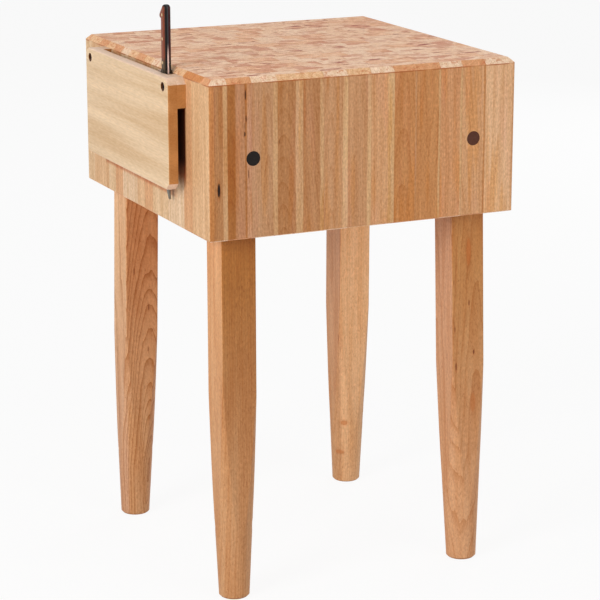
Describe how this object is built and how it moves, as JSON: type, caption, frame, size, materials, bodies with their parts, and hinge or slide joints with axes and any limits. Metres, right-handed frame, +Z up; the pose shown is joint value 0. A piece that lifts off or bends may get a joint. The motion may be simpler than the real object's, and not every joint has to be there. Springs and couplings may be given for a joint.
{
  "type": "butcher block table",
  "caption": "End-grain maple butcher block on square legs that taper to round feet, with a side rack that holds a chef's knife.",
  "frame": {"origin": "on the floor, under the middle of the whole width and depth, rack included", "axes": "+X to the right along the front, +Y to the back, +Z up"},
  "size_m": [0.571, 0.54, 0.9635],
  "materials": {
    "maple_block": "oiled end-grain and edge-grain maple",
    "maple_leg": "lacquered maple",
    "maple_rack": "lacquered pale maple",
    "plug_dark": "dark walnut end grain",
    "plug_brown": "walnut end grain",
    "rod_steel": "zinc-plated steel",
    "insert_brass": "plain brass",
    "screw_black": "black oxide",
    "blade_steel": "satin stainless steel",
    "bolster_steel": "dark satin steel",
    "handle_wood": "dark oiled hardwood",
    "rivet_brass": "polished pale brass"
  },
  "bodies": {
    "table": {"stave_row_01": "maple_block", "stave_row_02": "maple_block", "stave_row_03": "maple_block", "stave_row_04": "maple_block", "stave_row_05": "maple_block", "stave_row_06": "maple_block", "stave_row_07": "maple_block", "stave_row_08": "maple_block", "stave_row_09": "maple_block", "stave_row_10": "maple_block", "stave_row_11": "maple_block", "stave_row_12": "maple_block", "stave_row_13": "maple_block", "stave_row_14": "maple_block", "stave_row_15": "maple_block", "stave_row_16": "maple_block", "tie_rod_left": "rod_steel", "tie_rod_right": "rod_steel", "rod_washers": "rod_steel", "rod_nuts": "rod_steel", "plug_front_left": "plug_dark", "plug_front_right": "plug_brown", "plug_back_left": "plug_dark", "plug_back_right": "plug_brown", "leg_front_left": "maple_leg", "leg_front_right": "maple_leg", "leg_back_left": "maple_leg", "leg_back_right": "maple_leg", "leg_inserts": "insert_brass", "hanger_bolts": "rod_steel", "rack_board": "maple_rack", "rack_spacer_front": "maple_rack", "rack_spacer_back": "maple_rack", "rack_screws": "screw_black"},
    "knife": {"knife_blade": "blade_steel", "knife_bolster": "bolster_steel", "knife_scale_left": "handle_wood", "knife_scale_right": "handle_wood", "knife_rivets": "rivet_brass"}
  },
  "joints": [
    {"name": "knife_lift", "type": "slide", "parent": "table", "child": "knife", "axis": [0, 0, 1], "range_m": [0, 0.24]}
  ]
}
